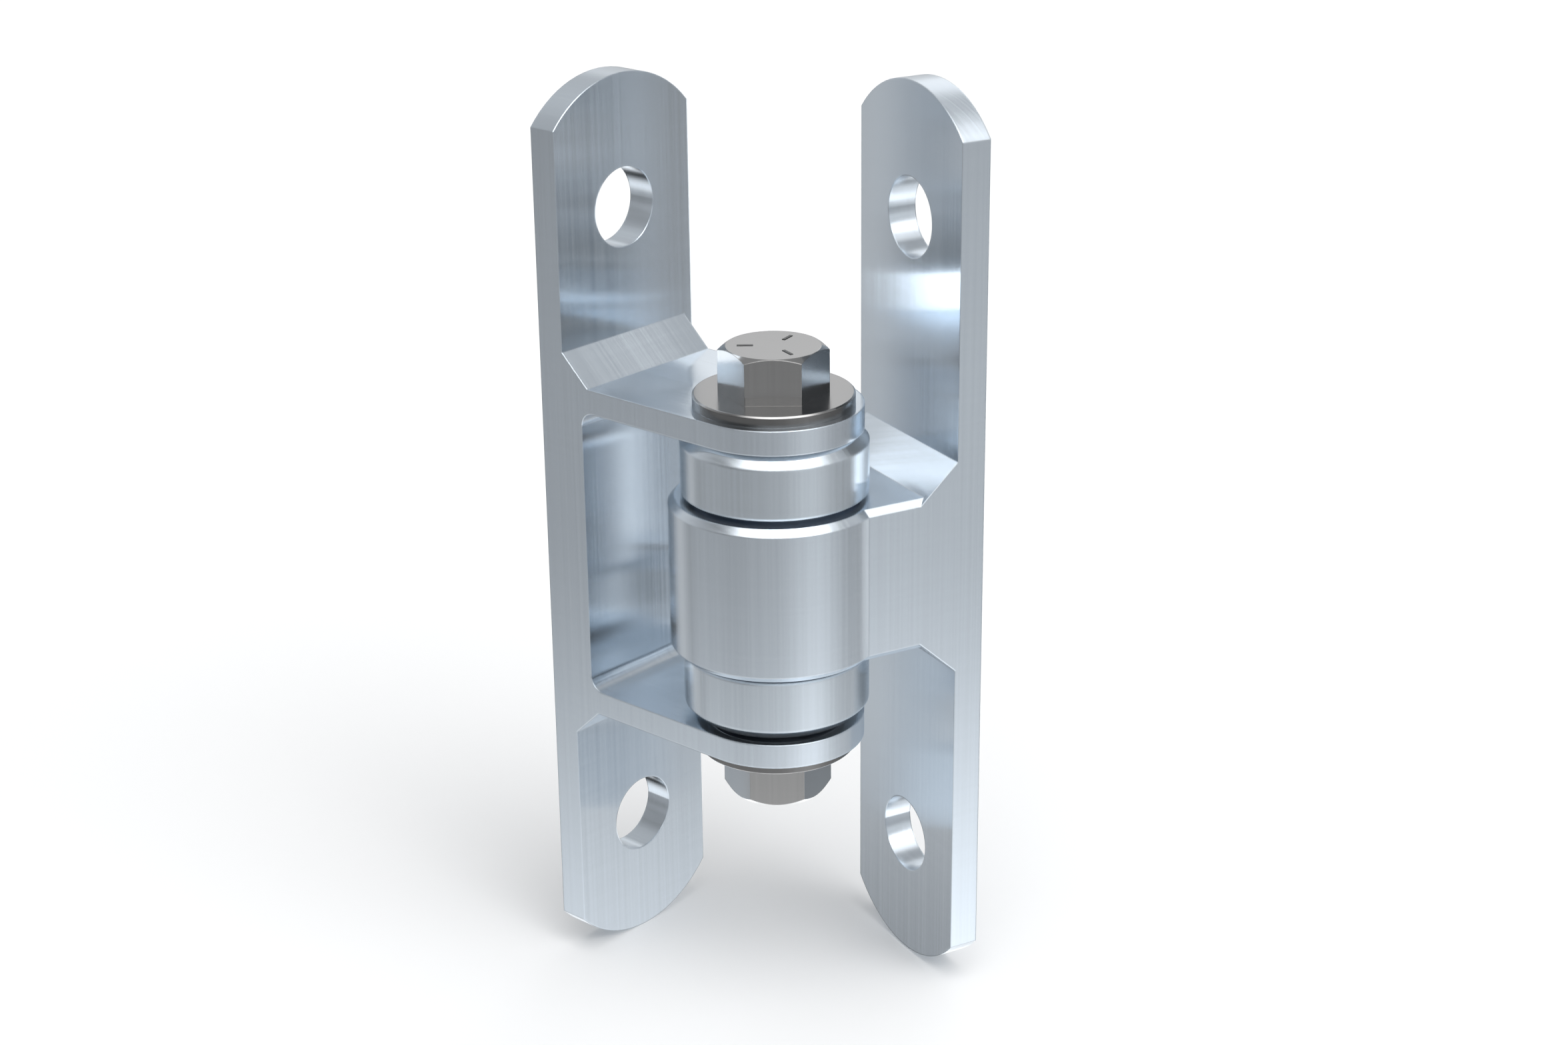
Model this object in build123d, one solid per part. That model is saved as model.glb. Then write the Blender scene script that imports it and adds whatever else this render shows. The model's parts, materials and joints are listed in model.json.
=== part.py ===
from build123d import *
from math import cos, radians, sin
import os

# Lengths are millimetres, angles are degrees.
# The hinge is drawn about its pivot, which is the Z axis with height zero between the arms.
# Each leaf reaches towards +X from the pivot, with its front face towards -Y.
# The post leaf is then mirrored to -X, and the gate leaf swings to its resting fold.

# Plates of the two leaves
PLATE_THICKNESS = 7.9
PLATE_WIDTH = 47.2
PLATE_HALF_HEIGHT = 119.2
PLATE_SHOULDER_HEIGHT = 108.4
HOLE_DIAMETER = 20.5
HOLE_SPACING = 170.2
PIVOT_FORWARD = 0.6
REAR_SETBACK = 2.8

# Post leaf: a fork with two arms
POST_REACH = 50.25
ARM_CLEARANCE = 0.95
ARM_THICKNESS = 6.35
ARM_END_RADIUS = 22.3
BRIDGE_THICKNESS = 6.15
WINDOW_FILLET = 4.0
FORK_GUSSET_REACH = 8.4
FORK_GUSSET_RISE = 7.9
PIVOT_HOLE_CLEARANCE = 0.2

# Gate leaf: a block and a barrel between the arms
GATE_REACH = 39.0
KNUCKLE_HEIGHT = 40.2
KNUCKLE_GUSSET_REACH = 8.95
KNUCKLE_GUSSET_RISE = 8.15
KNUCKLE_LIFT = 0.5
BARREL_RADIUS = 26.7
KNUCKLE_CHAMFER = 1.65
BARREL_BORE_RADIUS = 13.6
REST_FOLD = 70.4

# Bearing carriers: the collars at both ends of the barrel
CARRIER_RADIUS = 23.5
CARRIER_HEIGHT = 15.85
CARRIER_CHAMFER = 2.6
CARRIER_SLOT = 1.2
CARRIER_FLOOR = 1.5
SPIGOT_RADIUS = 18.2
SPIGOT_LENGTH = 7.5
SMALL_BREAK = 0.4
SLOT_RING_RADIUS = 21.2

# Tapered roller bearings
BORE_CLEARANCE = 0.04
BEARING_WIDTH = 11.0
OUTER_RACE_WIDTH = 9.0
INNER_RACE_SETBACK = 0.5
INNER_RACE_WALL = 2.65
OUTER_RACE_WALL = 2.55
ROLLER_DIAMETER = 4.2
ROLLER_LENGTH = 7.4
ROLLER_COUNT = 14
ROLLER_TILT = 12.0
ROLLER_HEIGHT = 5.3
ROLLER_CLEARANCE = 0.04
SMALL_RIB = 0.5
LARGE_RIB = 1.2
CAGE_THICKNESS = 0.8
CAGE_RIM = 1.2
CAGE_OUTWARD = 0.5
CAGE_CLEARANCE = 0.06

# Grease seals and spacers
SEAL_RIM_THICKNESS = 1.3
SEAL_WEB_THICKNESS = 1.0
SEAL_RECESS = 0.5
SEAL_LIP_CLEARANCE = 0.1
SPACER_WALL = 2.4

# Pivot bolt, washers and nut
SHANK_DIAMETER = 15.8
HEX_ACROSS_FLATS = 23.8
HEX_TURN = 41.0
HEAD_HEIGHT = 11.75
HEAD_CROWN_INSET = 0.15
HEAD_CHAMFER_DROP = 1.15
NUT_HEIGHT = 13.0
NUT_CROWN_INSET = 0.5
NUT_CHAMFER_DROP = 2.0
WASHER_RADIUS = 20.1
WASHER_THICKNESS = 2.8
BOLT_STICK_OUT = 1.0
BOLT_END_CHAMFER = 0.8

# Heights and depths that several pieces share
PLATE_FRONT = PLATE_WIDTH / 2 - PIVOT_FORWARD
LEAF_BODY_BACK = PLATE_WIDTH / 2 + PIVOT_FORWARD - REAR_SETBACK
KNUCKLE_TOP = KNUCKLE_HEIGHT / 2
CARRIER_FOOT = KNUCKLE_TOP + CARRIER_SLOT
CARRIER_TOP = CARRIER_FOOT + CARRIER_HEIGHT
ARM_INNER = CARRIER_TOP + ARM_CLEARANCE
ARM_OUTER = ARM_INNER + ARM_THICKNESS
WASHER_OUTER = ARM_OUTER + WASHER_THICKNESS
SPIGOT_END = KNUCKLE_TOP - SPIGOT_LENGTH
SEAT = CARRIER_FOOT + CARRIER_FLOOR
INNER_RACE_FRONT = SEAT + INNER_RACE_SETBACK
INNER_RACE_BACK = SEAT + BEARING_WIDTH
BORE_RADIUS = SHANK_DIAMETER / 2 + BORE_CLEARANCE
SPACER_RADIUS = BORE_RADIUS + SPACER_WALL

# Rolling cone of the bearing: the rollers' axes meet the pivot axis at its apex
TILT = radians(ROLLER_TILT)
PITCH_RADIUS = BORE_RADIUS + INNER_RACE_WALL + ROLLER_DIAMETER / 2 * cos(TILT)
PITCH_HEIGHT = SEAT + ROLLER_HEIGHT
ROLLER_MIDDLE = PITCH_RADIUS / sin(TILT)
ROLLER_TAPER = ROLLER_DIAMETER / 2 / ROLLER_MIDDLE
APEX_HEIGHT = PITCH_HEIGHT - ROLLER_MIDDLE * cos(TILT)
ROLLER_START = ROLLER_MIDDLE - ROLLER_LENGTH / 2
ROLLER_END = ROLLER_MIDDLE + ROLLER_LENGTH / 2
OUTER_RACE_RADIUS = PITCH_RADIUS + ROLLER_DIAMETER / 2 * cos(TILT) + OUTER_RACE_WALL


def turned(points, chamfers=()):
    """Solid turned about the pivot from (radius, height) points, with (corner, size) chamfers."""
    outline = make_face(Polyline(*points, close=True))
    for corner, size in chamfers:
        outline = chamfer(outline.vertices().sort_by_distance(corner)[0], size)
    return revolve(Plane.XZ * outline, axis=Axis.Z)


def tube(inner, outer, bottom, top, chamfers=()):
    """Round ring between two radii and two heights."""
    return turned([(inner, bottom), (outer, bottom), (outer, top), (inner, top)], chamfers)


def bar(radius, bottom, top):
    """Plain cylinder on the pivot axis between two heights."""
    return Pos(0, 0, bottom) * Cylinder(radius, top - bottom, align=(Align.CENTER, Align.CENTER, Align.MIN))


def below(part):
    """The same piece at the lower end."""
    return mirror(part, about=Plane.XY)


def leaf_plate(reach):
    """Plate with rounded ends and two bolt holes, its inner face at the given reach."""
    side = PLATE_WIDTH / 2
    shoulder = PLATE_SHOULDER_HEIGHT
    upper_end = ThreePointArc((side, shoulder), (0, PLATE_HALF_HEIGHT), (-side, shoulder))
    lower_end = ThreePointArc((-side, -shoulder), (0, -PLATE_HALF_HEIGHT), (side, -shoulder))
    back = Line(upper_end @ 1, lower_end @ 0)
    front = Line(lower_end @ 1, upper_end @ 0)
    outline = make_face([upper_end, back, lower_end, front])
    for height in (-HOLE_SPACING / 2, HOLE_SPACING / 2):
        outline -= Pos(0, height) * Circle(HOLE_DIAMETER / 2)
    return extrude(Plane.YZ.offset(reach) * Pos(PIVOT_FORWARD, 0) * outline, amount=PLATE_THICKNESS)


def through_leaf(outline):
    """Side view of a leaf, taken from its front face to the back of its arms or block."""
    back_face = Plane.XZ.offset(-LEAF_BODY_BACK)
    return extrude(back_face * outline, amount=LEAF_BODY_BACK + PLATE_FRONT)


def fork_side():
    """Side view of the fork: two arms, the bridge between them and the outer gussets."""
    bridge_face = POST_REACH - BRIDGE_THICKNESS
    gusset_foot = POST_REACH - FORK_GUSSET_REACH
    upper = [
        (POST_REACH, ARM_OUTER + FORK_GUSSET_RISE),
        (gusset_foot, ARM_OUTER),
        (-ARM_END_RADIUS, ARM_OUTER),
        (-ARM_END_RADIUS, ARM_INNER),
        (bridge_face, ARM_INNER),
    ]
    lower = [(x, -z) for x, z in reversed(upper)]
    outline = make_face(Polyline(*upper, *lower, close=True))
    for corner in ((bridge_face, ARM_INNER), (bridge_face, -ARM_INNER)):
        outline = fillet(outline.vertices().sort_by_distance(corner)[0], WINDOW_FILLET)
    return outline


def arm_plan():
    """Arm seen from above: round about the pivot, its foot flush with the plate's front edge."""
    foot = Line((POST_REACH, -PLATE_FRONT), (POST_REACH, LEAF_BODY_BACK))
    return make_hull([*Circle(ARM_END_RADIUS).edges(), foot])


def fork_leaf():
    """Post leaf: plate and fork in one piece, bored for the pivot bolt."""
    height = ARM_OUTER + FORK_GUSSET_RISE
    plan = extrude(Pos(0, 0, -height) * arm_plan(), amount=2 * height)
    leaf = leaf_plate(POST_REACH) + (through_leaf(fork_side()) & plan)
    leaf -= bar(SHANK_DIAMETER / 2 + PIVOT_HOLE_CLEARANCE, -height, height)
    return mirror(leaf, about=Plane.YZ)


def knuckle_leaf():
    """Gate leaf: plate, gusseted block and bored barrel in one piece."""
    gusset_foot = GATE_REACH - KNUCKLE_GUSSET_REACH
    gusset_top = KNUCKLE_TOP + KNUCKLE_GUSSET_RISE
    upper = [(GATE_REACH, gusset_top), (gusset_foot, KNUCKLE_TOP), (0, KNUCKLE_TOP)]
    lower = [(x, -z) for x, z in reversed(upper)]
    block = through_leaf(make_face(Polyline(*upper, *lower, close=True)))
    block = chamfer(block.edges().filter_by(Axis.X), KNUCKLE_CHAMFER)
    rims = [((BARREL_RADIUS, z), KNUCKLE_CHAMFER) for z in (-KNUCKLE_TOP, KNUCKLE_TOP)]
    barrel = tube(0, BARREL_RADIUS, -KNUCKLE_TOP, KNUCKLE_TOP, rims)
    leaf = leaf_plate(GATE_REACH) + block + barrel
    leaf -= bar(BARREL_BORE_RADIUS, -KNUCKLE_TOP, KNUCKLE_TOP)
    counterbore = bar(SPIGOT_RADIUS, SPIGOT_END, KNUCKLE_TOP)
    return leaf - counterbore - below(counterbore)


def bearing_carrier():
    """Collar that holds the outer race, with a spigot seated in the barrel."""
    outline = [
        (BARREL_BORE_RADIUS, SPIGOT_END),
        (SPIGOT_RADIUS, SPIGOT_END),
        (SPIGOT_RADIUS, CARRIER_FOOT),
        (CARRIER_RADIUS, CARRIER_FOOT),
        (CARRIER_RADIUS, CARRIER_TOP),
        (OUTER_RACE_RADIUS, CARRIER_TOP),
        (OUTER_RACE_RADIUS, SEAT),
        (BARREL_BORE_RADIUS, SEAT),
    ]
    return turned(outline, [
        ((CARRIER_RADIUS, CARRIER_TOP), CARRIER_CHAMFER),
        ((CARRIER_RADIUS, CARRIER_FOOT), SMALL_BREAK),
        ((OUTER_RACE_RADIUS, CARRIER_TOP), SMALL_BREAK),
    ])


def slot_ring():
    """Rubber ring round the spigot, in the slot between barrel and collar."""
    return tube(SPIGOT_RADIUS, SLOT_RING_RADIUS, KNUCKLE_TOP, CARRIER_FOOT)


def roller_point(along, across):
    """(radius, height) of a point given along and across a roller's axis, from the apex."""
    radius = along * sin(TILT) + across * cos(TILT)
    height = APEX_HEIGHT + along * cos(TILT) - across * sin(TILT)
    return radius, height


def raceway(along):
    """Distance from a roller's axis to either raceway."""
    return along * ROLLER_TAPER + ROLLER_CLEARANCE


def outer_raceway_radius(height):
    """Radius of the outer raceway at a height."""
    slope = cos(TILT) - ROLLER_TAPER * sin(TILT)
    along = (height - APEX_HEIGHT + ROLLER_CLEARANCE * sin(TILT)) / slope
    return roller_point(along, raceway(along))[0]


def outer_race():
    """Outer race, tapered inside, seated on the carrier's floor."""
    top = SEAT + OUTER_RACE_WIDTH
    return turned([
        (outer_raceway_radius(SEAT), SEAT),
        (OUTER_RACE_RADIUS, SEAT),
        (OUTER_RACE_RADIUS, top),
        (outer_raceway_radius(top), top),
    ])


def inner_race():
    """Inner race with a low rib at the rollers' small ends and a high one at their large ends."""
    start = ROLLER_START - CAGE_CLEARANCE
    end = ROLLER_END + CAGE_CLEARANCE
    small_rib = roller_point(start, SMALL_RIB - raceway(start))
    large_rib = roller_point(end, LARGE_RIB - raceway(end))
    return turned([
        (BORE_RADIUS, INNER_RACE_FRONT),
        (small_rib[0], INNER_RACE_FRONT),
        small_rib,
        roller_point(start, -raceway(start)),
        roller_point(end, -raceway(end)),
        large_rib,
        (large_rib[0], INNER_RACE_BACK),
        (BORE_RADIUS, INNER_RACE_BACK),
    ])


def round_the_pitch(part):
    """Copies of a piece, one for each roller."""
    return [Rot(0, 0, 360 * i / ROLLER_COUNT) * part for i in range(ROLLER_COUNT)]


def roller_frame():
    """Plane at a roller's middle, its Z along the roller's axis."""
    radius, height = roller_point(ROLLER_MIDDLE, 0)
    return Plane(origin=(radius, 0, height), z_dir=(sin(TILT), 0, cos(TILT)))


def rollers():
    """Ring of tapered rollers."""
    roller = roller_frame() * Cone(ROLLER_START * ROLLER_TAPER, ROLLER_END * ROLLER_TAPER, ROLLER_LENGTH)
    return Compound(round_the_pitch(roller))


def roller_cage():
    """Conical sheet cage with a window for each roller."""
    start = ROLLER_START - CAGE_CLEARANCE - CAGE_RIM
    end = ROLLER_END + CAGE_CLEARANCE + CAGE_RIM
    inner = CAGE_OUTWARD - CAGE_THICKNESS / 2
    outer = CAGE_OUTWARD + CAGE_THICKNESS / 2
    cage = turned([
        roller_point(start, inner),
        roller_point(end, inner),
        roller_point(end, outer),
        roller_point(start, outer),
    ])
    width = 2 * (ROLLER_END * ROLLER_TAPER + CAGE_CLEARANCE)
    window = roller_frame() * Box(ROLLER_DIAMETER + CAGE_THICKNESS, width, ROLLER_LENGTH + 2 * CAGE_CLEARANCE)
    return cage - round_the_pitch(window)


def grease_seal():
    """Seal in the carrier's mouth: a rim on the outer race and a web that reaches the spacer."""
    outer_race_top = SEAT + OUTER_RACE_WIDTH
    top = CARRIER_TOP - SEAL_RECESS
    web = top - SEAL_WEB_THICKNESS
    rim = OUTER_RACE_RADIUS - SEAL_RIM_THICKNESS
    lip = SPACER_RADIUS + SEAL_LIP_CLEARANCE
    return turned([
        (rim, outer_race_top),
        (OUTER_RACE_RADIUS, outer_race_top),
        (OUTER_RACE_RADIUS, top),
        (lip, top),
        (lip, web),
        (rim, web),
    ])


def hexagon(height, crown_inset, chamfer_drop):
    """Hexagonal prism standing on height zero, its top corners chamfered down to a circle."""
    flat = HEX_ACROSS_FLATS / 2
    corner = flat / cos(radians(30))
    prism = RegularPolygon(flat, 6, major_radius=False, rotation=HEX_TURN)
    envelope = turned([
        (0, 0),
        (corner, 0),
        (corner, height - chamfer_drop),
        (flat - crown_inset, height),
        (0, height),
    ])
    return extrude(prism, amount=height) & envelope


def pivot_bolt():
    """Hexagon head bolt from above the upper washer to just past the nut."""
    head = Pos(0, 0, WASHER_OUTER) * hexagon(HEAD_HEIGHT, HEAD_CROWN_INSET, HEAD_CHAMFER_DROP)
    end = -WASHER_OUTER - NUT_HEIGHT - BOLT_STICK_OUT
    radius = SHANK_DIAMETER / 2
    shank = turned([
        (0, end),
        (radius - BOLT_END_CHAMFER, end),
        (radius, end + BOLT_END_CHAMFER),
        (radius, WASHER_OUTER),
        (0, WASHER_OUTER),
    ])
    return shank + head


def hex_nut():
    """Hexagon nut under the lower washer."""
    nut = hexagon(NUT_HEIGHT, NUT_CROWN_INSET, NUT_CHAMFER_DROP) - bar(BORE_RADIUS, 0, NUT_HEIGHT)
    return below(Pos(0, 0, WASHER_OUTER) * nut)


def washers():
    """Thick washers on the upper arm and under the lower arm."""
    bore = SHANK_DIAMETER / 2 + PIVOT_HOLE_CLEARANCE
    rim = ((WASHER_RADIUS, WASHER_OUTER), SMALL_BREAK)
    upper = tube(bore, WASHER_RADIUS, ARM_OUTER, WASHER_OUTER, [rim])
    return Compound([upper, below(upper)])


def in_knuckle(part):
    """Height of the bearings and the barrel, a little above the middle of the fork."""
    return Pos(0, 0, KNUCKLE_LIFT) * part


def swung(part):
    """Piece of the gate side at its resting fold."""
    return in_knuckle(Rot(0, 0, REST_FOLD) * part)


def post_side():
    """Pieces that stay with the post."""
    return {
        "fork_leaf": fork_leaf(),
        "pivot_bolt": pivot_bolt(),
        "washers": washers(),
        "hex_nut": hex_nut(),
        "upper_inner_race": in_knuckle(inner_race()),
        "lower_inner_race": in_knuckle(below(inner_race())),
        "spacer_sleeve": in_knuckle(tube(BORE_RADIUS, SPACER_RADIUS, -INNER_RACE_FRONT, INNER_RACE_FRONT)),
        "upper_end_spacer": tube(BORE_RADIUS, SPACER_RADIUS, INNER_RACE_BACK + KNUCKLE_LIFT, ARM_INNER),
        "lower_end_spacer": tube(BORE_RADIUS, SPACER_RADIUS, -ARM_INNER, KNUCKLE_LIFT - INNER_RACE_BACK),
    }


def gate_side():
    """Pieces that swing with the gate."""
    pieces = {"knuckle_leaf": knuckle_leaf()}
    paired = {
        "bearing_carrier": bearing_carrier(),
        "outer_race": outer_race(),
        "grease_seal": grease_seal(),
        "slot_ring": slot_ring(),
    }
    for name, part in paired.items():
        pieces[f"upper_{name}"] = part
        pieces[f"lower_{name}"] = below(part)
    return {name: swung(part) for name, part in pieces.items()}


def rolling_sets():
    """Rollers and cages, which turn at their own speed between the races."""
    pieces = {}
    for name, part in {"rollers": rollers(), "roller_cage": roller_cage()}.items():
        pieces[f"upper_{name}"] = in_knuckle(part)
        pieces[f"lower_{name}"] = in_knuckle(below(part))
    return pieces


# The origin is the middle of the post leaf's bolt holes, on the face that meets the post.
os.makedirs("parts", exist_ok=True)
to_origin = Pos(POST_REACH + PLATE_THICKNESS, -PIVOT_FORWARD, 0)
for node, part in {**post_side(), **gate_side(), **rolling_sets()}.items():
    export_step(to_origin * part, f"parts/{node}.step")
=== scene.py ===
import json
from math import cos, radians, sin

import bmesh
import bpy
from mathutils import Matrix, Vector


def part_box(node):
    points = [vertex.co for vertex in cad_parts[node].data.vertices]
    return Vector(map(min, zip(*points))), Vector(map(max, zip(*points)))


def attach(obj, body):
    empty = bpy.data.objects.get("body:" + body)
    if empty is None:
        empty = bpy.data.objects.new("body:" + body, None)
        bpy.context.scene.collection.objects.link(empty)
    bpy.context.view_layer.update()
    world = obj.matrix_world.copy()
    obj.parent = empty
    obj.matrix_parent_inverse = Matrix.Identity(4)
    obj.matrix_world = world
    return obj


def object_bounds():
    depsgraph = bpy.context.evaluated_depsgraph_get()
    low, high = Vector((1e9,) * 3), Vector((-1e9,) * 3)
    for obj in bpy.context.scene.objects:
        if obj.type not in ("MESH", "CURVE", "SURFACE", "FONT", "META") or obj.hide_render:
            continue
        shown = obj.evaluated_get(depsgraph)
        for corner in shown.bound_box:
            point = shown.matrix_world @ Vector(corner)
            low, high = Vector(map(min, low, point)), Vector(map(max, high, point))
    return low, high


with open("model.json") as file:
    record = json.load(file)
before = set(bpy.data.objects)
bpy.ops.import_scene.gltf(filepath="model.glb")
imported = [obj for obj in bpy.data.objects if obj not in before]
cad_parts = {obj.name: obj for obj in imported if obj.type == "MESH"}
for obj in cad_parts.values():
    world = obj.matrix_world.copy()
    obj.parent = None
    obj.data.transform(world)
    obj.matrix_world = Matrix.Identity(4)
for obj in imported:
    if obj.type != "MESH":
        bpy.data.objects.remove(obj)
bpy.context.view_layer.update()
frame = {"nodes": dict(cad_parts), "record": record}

MM = 0.001

# Camera, solved from the photograph: metres, degrees, and millimetres for lens and sensor
CAMERA_PLACE = (0.48185, -0.47400, 0.2590)
CAMERA_HEADING = 41.63
CAMERA_PITCH = 21.19
CAMERA_ROLL = -0.54
LENS = 62.79
SENSOR = 36.0
CLIP_START = 0.01
CLIP_END = 50

# Room as the object sees it. Floor and walls: brightness in equal steps once round the object, from
# the camera on by the camera's right. Upward: (sine of the height, brightness)
FLOOR_AROUND = (0.58, 0.9, 0.5, 0.2, 0.85, 0.0, 0.55, 0.5)
WALLS_AROUND = (1.05, 0.9, 0.55, 0.9, 0.7, 1.0, 0.45, 0.2)
UPWARD = (
    (-1.0, 1.5), (-0.6, 2.25), (-0.35, 0.75), (-0.12, 0.55),
    (0.12, 1.0), (0.35, 0.8), (0.6, 0.7), (0.85, 0.5), (1.0, 0.5),
)
ROOM_COOLNESS = 0.02
HORIZON_SOFTNESS = 0.3

# Overhead softbox: its edges to the right and away, for each metre of height, how soft they are, and
# the sine of the height below which it isn't seen
OVERHEAD_RIGHT = (-0.45, 0.7)
OVERHEAD_AWAY = (-1.04, 0.04)
OVERHEAD_SOFTNESS = 0.52
OVERHEAD_RADIANCE = 2.95
OVERHEAD_LOWEST = 0.05

# Cards: direction (0 behind the object, + to the left), half width, height, half height and softness
# in degrees, then radiance, which is below 0 for the flag
CARDS = {
    "behind": (-20, 14, 31, 11, 14, 0.95),
    "softbox by the camera": (-132, 23, 39, 10, 19, 3.7),
    "floor on the left": (40, 27, -15, 13, 8, 0.55),
    "floor on the right": (-50, 15, -18, 9, 9, 1.9),
    "flag by the camera": (131, 24, 29, 5.5, 11, -1.2),
    "wall on the right": (-36, 19, 9, 16, 8, 0.35),
    "strip behind": (-4, 12, 21, 5, 6, 0.45),
}
CARD_SIDE_SOFTNESS = 1.6

# Floor: metres, colour, and the light that only the camera sees
FLOOR_REACH = 4.0
FLOOR_COLOUR = 0.82
FLOOR_LIFT = 0.01

# Brushing lines: noise frequencies per metre, smallest along the line
UPRIGHT_LINES = (1200, 1200, 7)
LEVEL_LINES = (7, 1200, 7)
CROSS_LINES = (20, 20, 1200)
CROSS_SHARE = 0.25
LINE_DEPTH = 0.02
ROUGHNESS_SPREAD = 0.02
NOISE_RANGE = (0.3, 0.7)

# How level a face is from the share of its normal that points up or down, and how soft that step is
LEVEL_FACE = 0.4
LEVEL_SOFTNESS = 0.3

# Finish shared by the zinc plated pieces
ZINC = {"roughness": 0.16, "spread": 0.035, "bump": 0.05, "drawn": 1.0}

# Rubber: colour, near black with a navy tint that is a painted sheen, then frequency of the grain, bump and
# roughness
RUBBER_COLOUR_WITH_PAINTED_SHEEN = (0.03, 0.05, 0.085)
RUBBER_GRAIN = (900, 900, 900)
RUBBER_BUMP = 0.1
RUBBER_ROUGHNESS = (0.3, 0.4)

# Grade marks on the bolt head, in millimetres and degrees from the camera's right
MARK_ANGLES = (180, 60, -60)
MARK_START = 4.9
MARK_END = 8.9
MARK_WIDTH = 0.9
MARK_HEIGHT = 0.12
MARK_ROUNDING = 0.05
MARK_COLOUR = (0.14, 0.14, 0.14)


def link(obj):
    """Puts an object into the scene."""
    bpy.context.scene.collection.objects.link(obj)
    return obj


def make_camera():
    """Camera at the photograph's viewing angle."""
    heading, pitch, roll = radians(CAMERA_HEADING), radians(CAMERA_PITCH), radians(CAMERA_ROLL)
    forward = Vector((-sin(heading) * cos(pitch), cos(heading) * cos(pitch), -sin(pitch)))
    level = Vector((cos(heading), sin(heading), 0))
    upright = level.cross(forward)
    right = level * cos(roll) + upright * sin(roll)
    up = upright * cos(roll) - level * sin(roll)
    data = bpy.data.cameras.new("camera")
    data.lens = LENS
    data.sensor_width = SENSOR
    data.clip_start = CLIP_START
    data.clip_end = CLIP_END
    camera = link(bpy.data.objects.new("camera", data))
    rotation = Matrix((right, up, -forward)).transposed()
    camera.matrix_world = Matrix.Translation(CAMERA_PLACE) @ rotation.to_4x4()
    bpy.context.scene.camera = camera


class Graph:
    """Small helper for building node trees."""

    def __init__(self, tree):
        self.tree = tree
        tree.nodes.clear()

    def add(self, kind, inputs=None, **settings):
        """New node with settings and inputs; an input is a value or another node's output."""
        node = self.tree.nodes.new(kind)
        for name, value in settings.items():
            setattr(node, name, value)
        for name, value in (inputs or {}).items():
            if isinstance(value, bpy.types.NodeSocket):
                self.tree.links.new(value, node.inputs[name])
            else:
                node.inputs[name].default_value = value
        return node

    def math(self, operation, *values):
        """Output of a math node."""
        return self.add("ShaderNodeMath", dict(enumerate(values)), operation=operation).outputs[0]

    def vector(self, operation, *values):
        """Vector output of a vector math node."""
        return self.add("ShaderNodeVectorMath", dict(enumerate(values)), operation=operation).outputs[0]

    def dot(self, first, second):
        """Dot product of two vectors."""
        node = self.add("ShaderNodeVectorMath", {0: first, 1: second}, operation="DOT_PRODUCT")
        return node.outputs["Value"]

    def tint(self, colour, shade):
        """A colour made lighter or darker by a factor."""
        return self.add("ShaderNodeVectorMath", {0: colour, "Scale": shade}, operation="SCALE").outputs[0]

    def remap(self, value, low, high):
        """A value between 0 and 1 spread between two others."""
        return self.add("ShaderNodeMapRange", {"Value": value, "To Min": low, "To Max": high}).outputs[0]

    def bump(self, strength, height, **inputs):
        """Normal that follows a height between 0 and 1."""
        settings = {"Strength": strength, "Distance": LINE_DEPTH * MM, "Height": height, **inputs}
        return self.add("ShaderNodeBump", settings).outputs[0]

    def ramp(self, factor, stops):
        """Colour output of a smooth ramp with (position, colour) stops."""
        node = self.add("ShaderNodeValToRGB", {"Fac": factor})
        ramp = node.color_ramp
        ramp.interpolation = "EASE"
        while len(ramp.elements) < len(stops):
            ramp.elements.new(0.5)
        for element, (position, colour) in zip(ramp.elements, stops):
            element.position = position
            element.color = (*colour, 1)
        return node.outputs["Color"]


def edge(graph, value, place, softness, low, high):
    """Soft step from one level to another where a value passes a place."""
    settings = {
        "Value": value,
        "From Min": place - softness / 2,
        "From Max": place + softness / 2,
        "To Min": low,
        "To Max": high,
    }
    return graph.add("ShaderNodeMapRange", settings, interpolation_type="SMOOTHSTEP").outputs[0]


def soft_strip(graph, value, limits, softness):
    """1 between two limits of a value, fading to 0 outside."""
    first = edge(graph, value, limits[0], softness, 0, 1)
    return graph.math("MULTIPLY", first, edge(graph, value, limits[1], softness, 1, 0))


def around_ramp(graph, turn, levels):
    """Slightly cool grey that goes through equally spaced levels once round the horizon."""
    stops = []
    for index, level in enumerate((*levels, levels[0])):
        cool_grey = (level * (1 - ROOM_COOLNESS), level, level * (1 + ROOM_COOLNESS))
        stops.append((index / len(levels), cool_grey))
    return graph.ramp(graph.math("MULTIPLY_ADD", turn, 1 / 360, 0.5), stops)


def room(graph, turn, up):
    """Colour of floor and walls in a direction."""
    floor = around_ramp(graph, turn, FLOOR_AROUND)
    walls = around_ramp(graph, turn, WALLS_AROUND)
    horizon = edge(graph, up, 0, HORIZON_SOFTNESS, 0, 1)
    sides = graph.add("ShaderNodeMix", {0: horizon, 4: floor, 5: walls}, data_type="VECTOR").outputs[1]
    stops = [(rise / 2 + 0.5, (level, level, level)) for rise, level in UPWARD]
    upward = graph.ramp(graph.math("MULTIPLY_ADD", up, 0.5, 0.5), stops)
    return graph.vector("MULTIPLY", sides, upward)


def overhead(graph, right, away, up):
    """Light of the overhead softbox in a direction."""
    height = graph.math("MAXIMUM", up, OVERHEAD_LOWEST)
    across = soft_strip(graph, graph.math("DIVIDE", right, height), OVERHEAD_RIGHT, OVERHEAD_SOFTNESS)
    along = soft_strip(graph, graph.math("DIVIDE", away, height), OVERHEAD_AWAY, OVERHEAD_SOFTNESS)
    light = graph.math("MULTIPLY", graph.math("MULTIPLY", across, along), OVERHEAD_RADIANCE)
    return graph.math("MULTIPLY", light, graph.math("GREATER_THAN", up, OVERHEAD_LOWEST))


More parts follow.
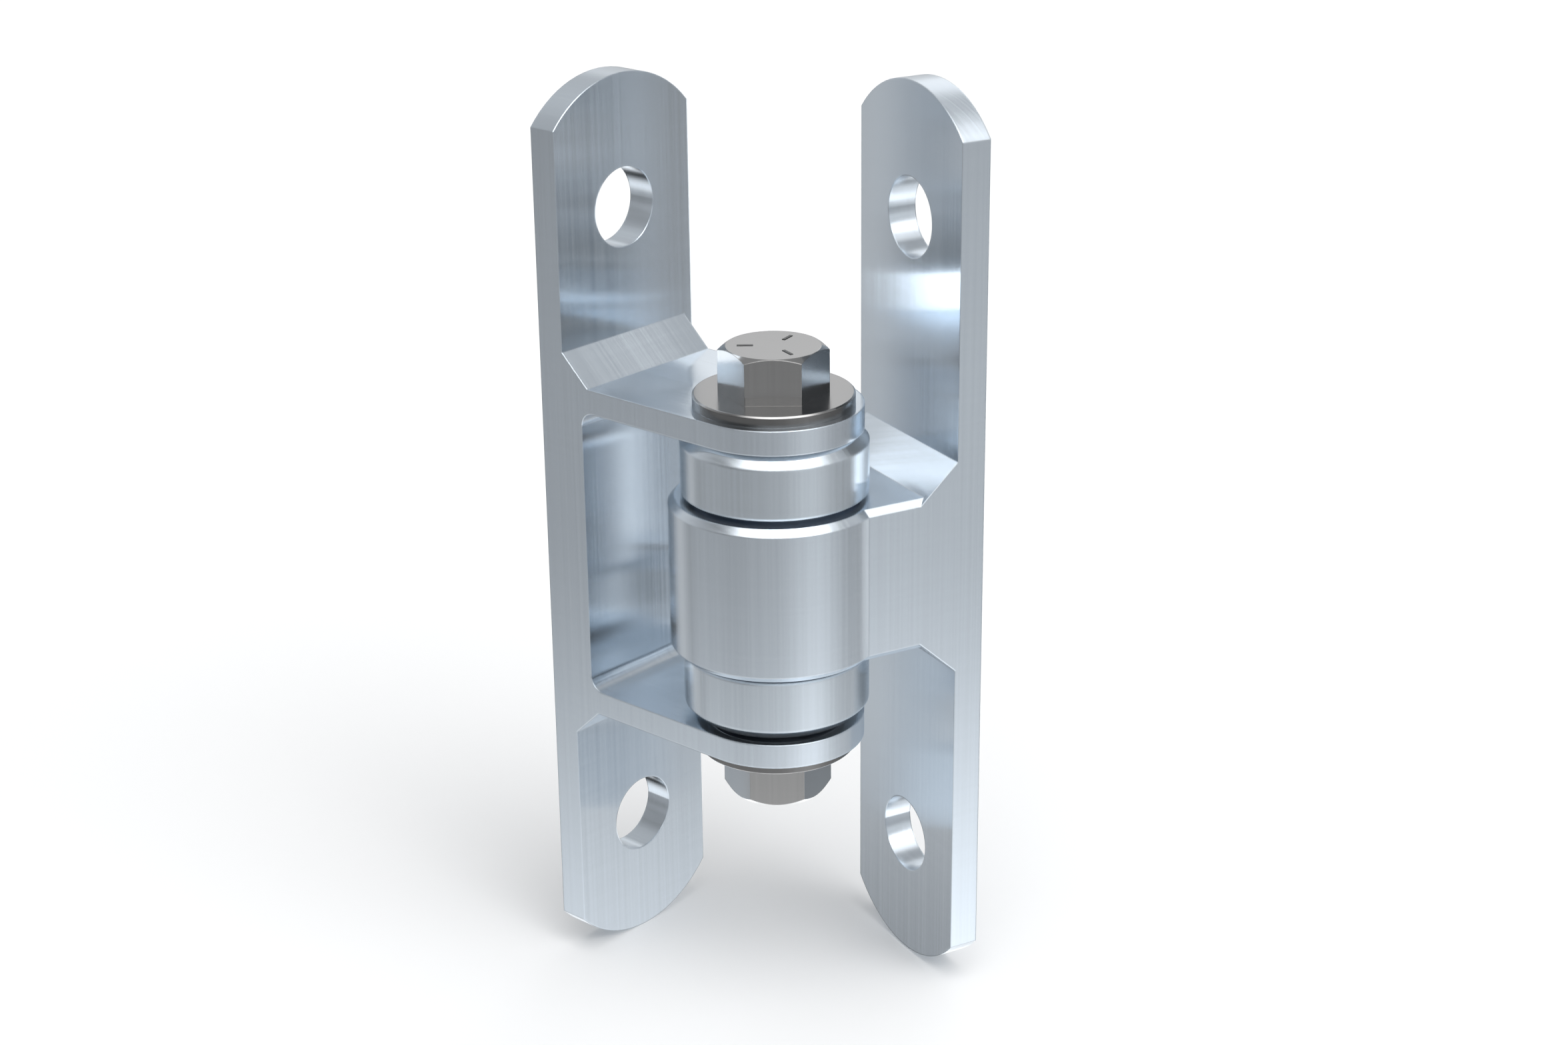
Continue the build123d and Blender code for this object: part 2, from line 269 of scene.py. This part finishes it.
def card(graph, turn, height, place):
    """Light of one card in a direction."""
    direction, half_width, level, half_height, softness, radiance = place
    offset = graph.math("WRAP", graph.math("SUBTRACT", turn, direction), 180, -180)
    side_softness = CARD_SIDE_SOFTNESS * softness
    aside = edge(graph, graph.math("ABSOLUTE", offset), half_width, side_softness, radiance, 0)
    rise = graph.math("ABSOLUTE", graph.math("SUBTRACT", height, level))
    return graph.math("MULTIPLY", aside, edge(graph, rise, half_height, softness, 1, 0))


def make_world():
    """Studio surroundings: a dim room, an overhead softbox and a few cards."""
    world = bpy.data.worlds.new("studio")
    world.use_nodes = True
    bpy.context.scene.world = world
    graph = Graph(world.node_tree)
    heading = radians(CAMERA_HEADING)
    direction = graph.add("ShaderNodeTexCoord").outputs["Generated"]
    right = graph.dot(direction, (cos(heading), sin(heading), 0))
    away = graph.dot(direction, (-sin(heading), cos(heading), 0))
    up = graph.dot(direction, (0, 0, 1))
    turn = graph.math("DEGREES", graph.math("ARCTAN2", graph.math("MULTIPLY", right, -1), away))
    height = graph.math("DEGREES", graph.math("ARCSINE", up))
    light = overhead(graph, right, away, up)
    for place in CARDS.values():
        light = graph.math("ADD", light, card(graph, turn, height, place))
    lights = graph.add("ShaderNodeCombineXYZ", {"X": light, "Y": light, "Z": light}).outputs[0]
    total = graph.vector("ADD", room(graph, turn, up), lights)
    colour = graph.vector("MAXIMUM", total, (0, 0, 0))
    background = graph.add("ShaderNodeBackground", {"Color": colour, "Strength": 1.0})
    graph.add("ShaderNodeOutputWorld", {"Surface": background.outputs[0]})


def new_material(name):
    """Node material and its graph."""
    material = bpy.data.materials.new(name)
    material.use_nodes = True
    return material, Graph(material.node_tree)


def make_floor():
    """Plain pale floor under the plates."""
    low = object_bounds()[0]
    corners = [
        (-FLOOR_REACH, -FLOOR_REACH, low.z),
        (FLOOR_REACH, -FLOOR_REACH, low.z),
        (FLOOR_REACH, FLOOR_REACH, low.z),
        (-FLOOR_REACH, FLOOR_REACH, low.z),
    ]
    mesh = bpy.data.meshes.new("floor")
    mesh.from_pydata(corners, [], [(0, 1, 2, 3)])
    floor = link(bpy.data.objects.new("floor", mesh))
    material, graph = new_material("floor")
    paper = graph.add("ShaderNodeBsdfDiffuse", {"Color": (FLOOR_COLOUR, FLOOR_COLOUR, FLOOR_COLOUR, 1)})
    path = graph.add("ShaderNodeLightPath")
    seen = graph.math("MAXIMUM", path.outputs["Is Camera Ray"], path.outputs["Is Transmission Ray"])
    strength = graph.math("MULTIPLY", seen, FLOOR_LIFT)
    lift = graph.add("ShaderNodeEmission", {"Color": (1, 1, 1, 1), "Strength": strength})
    surface = graph.add("ShaderNodeAddShader", {0: paper.outputs[0], 1: lift.outputs[0]})
    graph.add("ShaderNodeOutputMaterial", {"Surface": surface.outputs[0]})
    mesh.materials.append(material)
    floor.visible_glossy = False


def streaks(graph, stretch, detail=3.0):
    """Noise between 0 and 1, stretched by a frequency along each axis."""
    place = graph.add("ShaderNodeTexCoord").outputs["Object"]
    scaled = graph.vector("MULTIPLY", place, stretch)
    noise = graph.add("ShaderNodeTexNoise", {"Vector": scaled, "Scale": 1.0, "Detail": detail}).outputs["Fac"]
    low, high = NOISE_RANGE
    return graph.add("ShaderNodeMapRange", {"Value": noise, "From Min": low, "From Max": high}).outputs[0]


def levelness(graph):
    """1 on faces that look up or down, 0 on upright ones."""
    normal = graph.add("ShaderNodeTexCoord").outputs["Normal"]
    facing = graph.add("ShaderNodeSeparateXYZ", {"Vector": normal}).outputs["Z"]
    return edge(graph, graph.math("ABSOLUTE", facing), LEVEL_FACE, LEVEL_SOFTNESS, 0, 1)


def brushing(graph, flat):
    """Lines that run upright or level with the face, with fainter ones across."""
    upright = streaks(graph, UPRIGHT_LINES, detail=4.0)
    level = streaks(graph, LEVEL_LINES, detail=4.0)
    along = graph.add("ShaderNodeMix", {0: flat, 2: upright, 3: level}).outputs[0]
    across = streaks(graph, CROSS_LINES)
    return graph.math("MULTIPLY_ADD", across, CROSS_SHARE, graph.math("MULTIPLY", along, 1 - CROSS_SHARE))


def brushed_steel(name, colour, roughness, spread, bump, drawn=0.0, rim=0.3, metal=1.0, sides=1.0):
    """Brushed steel with edges rounded by the rim, in millimetres.

    The spread is how far the lines change the colour. A drawn finish smears what it reflects
    sideways. Sides below 1 darken the upright faces against the level ones: painted shade.
    """
    material, graph = new_material(name)
    flat = levelness(graph)
    lines = brushing(graph, flat)
    # remap(flat, sides, 1) makes upright faces darker than level ones: painted shade
    shade = graph.math("MULTIPLY", graph.remap(lines, 1 - spread, 1 + spread), graph.remap(flat, sides, 1))
    rounded = graph.add("ShaderNodeBevel", {"Radius": rim * MM}, samples=4).outputs[0]
    shader = graph.add("ShaderNodeBsdfPrincipled", {
        "Base Color": graph.tint(colour, shade),
        "Metallic": metal,
        "Roughness": graph.remap(lines, roughness - ROUGHNESS_SPREAD, roughness + ROUGHNESS_SPREAD),
        "Anisotropic": drawn,
        "Tangent": graph.add("ShaderNodeTangent", direction_type="RADIAL", axis="Z").outputs[0],
        "Normal": graph.bump(bump, lines, Normal=rounded),
    })
    graph.add("ShaderNodeOutputMaterial", {"Surface": shader.outputs[0]})
    return material


def rubber():
    """Black rubber tinted navy: the bluish sheen is painted into its colour."""
    material, graph = new_material("black_rubber")
    grain = streaks(graph, RUBBER_GRAIN)
    shader = graph.add("ShaderNodeBsdfPrincipled", {
        # the navy tint of the base colour is a painted bluish sheen
        "Base Color": graph.tint(RUBBER_COLOUR_WITH_PAINTED_SHEEN, graph.remap(grain, 0.9, 1.1)),
        "Roughness": graph.remap(grain, *RUBBER_ROUGHNESS),
        "Normal": graph.bump(RUBBER_BUMP, grain),
    })
    graph.add("ShaderNodeOutputMaterial", {"Surface": shader.outputs[0]})
    return material


def dress():
    """Gives every CAD node its material, by the record's slots."""
    finishes = {
        "leaf_steel": brushed_steel("leaf_zinc", (0.695, 0.755, 0.815), rim=0.5, metal=0.96, **ZINC),
        "carrier_steel": brushed_steel("carrier_zinc", (0.68, 0.74, 0.795), rim=0.9, metal=0.94, **ZINC),
        "bolt_steel": brushed_steel("bolt_metal", (0.39, 0.385, 0.38), 0.14, 0.03, 0.04),
        # sides=0.55 darkens the washer's upright side: painted shade
        "washer_steel": brushed_steel("washer_metal_painted_side_shade", (0.38, 0.375, 0.37), 0.2, 0.03, 0.04, sides=0.55),
        "bearing_steel": brushed_steel("bearing_metal", (0.66, 0.67, 0.68), 0.15, 0.03, 0.1),
        "cage_steel": brushed_steel("cage_metal", (0.45, 0.44, 0.42), 0.3, 0.04, 0.2),
        "rubber": rubber(),
    }
    for part in frame["record"]["subparts"]:
        mesh = frame["nodes"][part["node"]].data
        mesh.materials.clear()
        mesh.materials.append(finishes[part["material_slot"]])


def make_grade_marks():
    """Three raised dashes on the bolt head."""
    low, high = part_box("pivot_bolt")
    centre = (low + high) / 2
    mesh = bpy.data.meshes.new("grade_marks")
    shape = bmesh.new()
    length = (MARK_END - MARK_START) * MM
    for angle in MARK_ANGLES:
        turn = Matrix.Rotation(radians(CAMERA_HEADING + angle), 4, "Z")
        place = Matrix.Translation((centre.x, centre.y, high.z))
        middle = Matrix.Translation((MARK_START * MM + length / 2, 0, MARK_HEIGHT * MM / 2))
        size = Matrix.Diagonal((length, MARK_WIDTH * MM, MARK_HEIGHT * MM, 1))
        bmesh.ops.create_cube(shape, size=1, matrix=place @ turn @ middle @ size)
    bmesh.ops.bevel(shape, geom=shape.edges[:], offset=MARK_ROUNDING * MM, segments=2, affect="EDGES")
    shape.to_mesh(mesh)
    shape.free()
    mesh.materials.append(brushed_steel("mark_steel", MARK_COLOUR, 0.4, 0.04, 0.1))
    marks = link(bpy.data.objects.new("grade_marks", mesh))
    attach(marks, "post_side")


make_camera()
make_world()
make_floor()
dress()
make_grade_marks()
bpy.context.scene.view_settings.view_transform = "Standard"
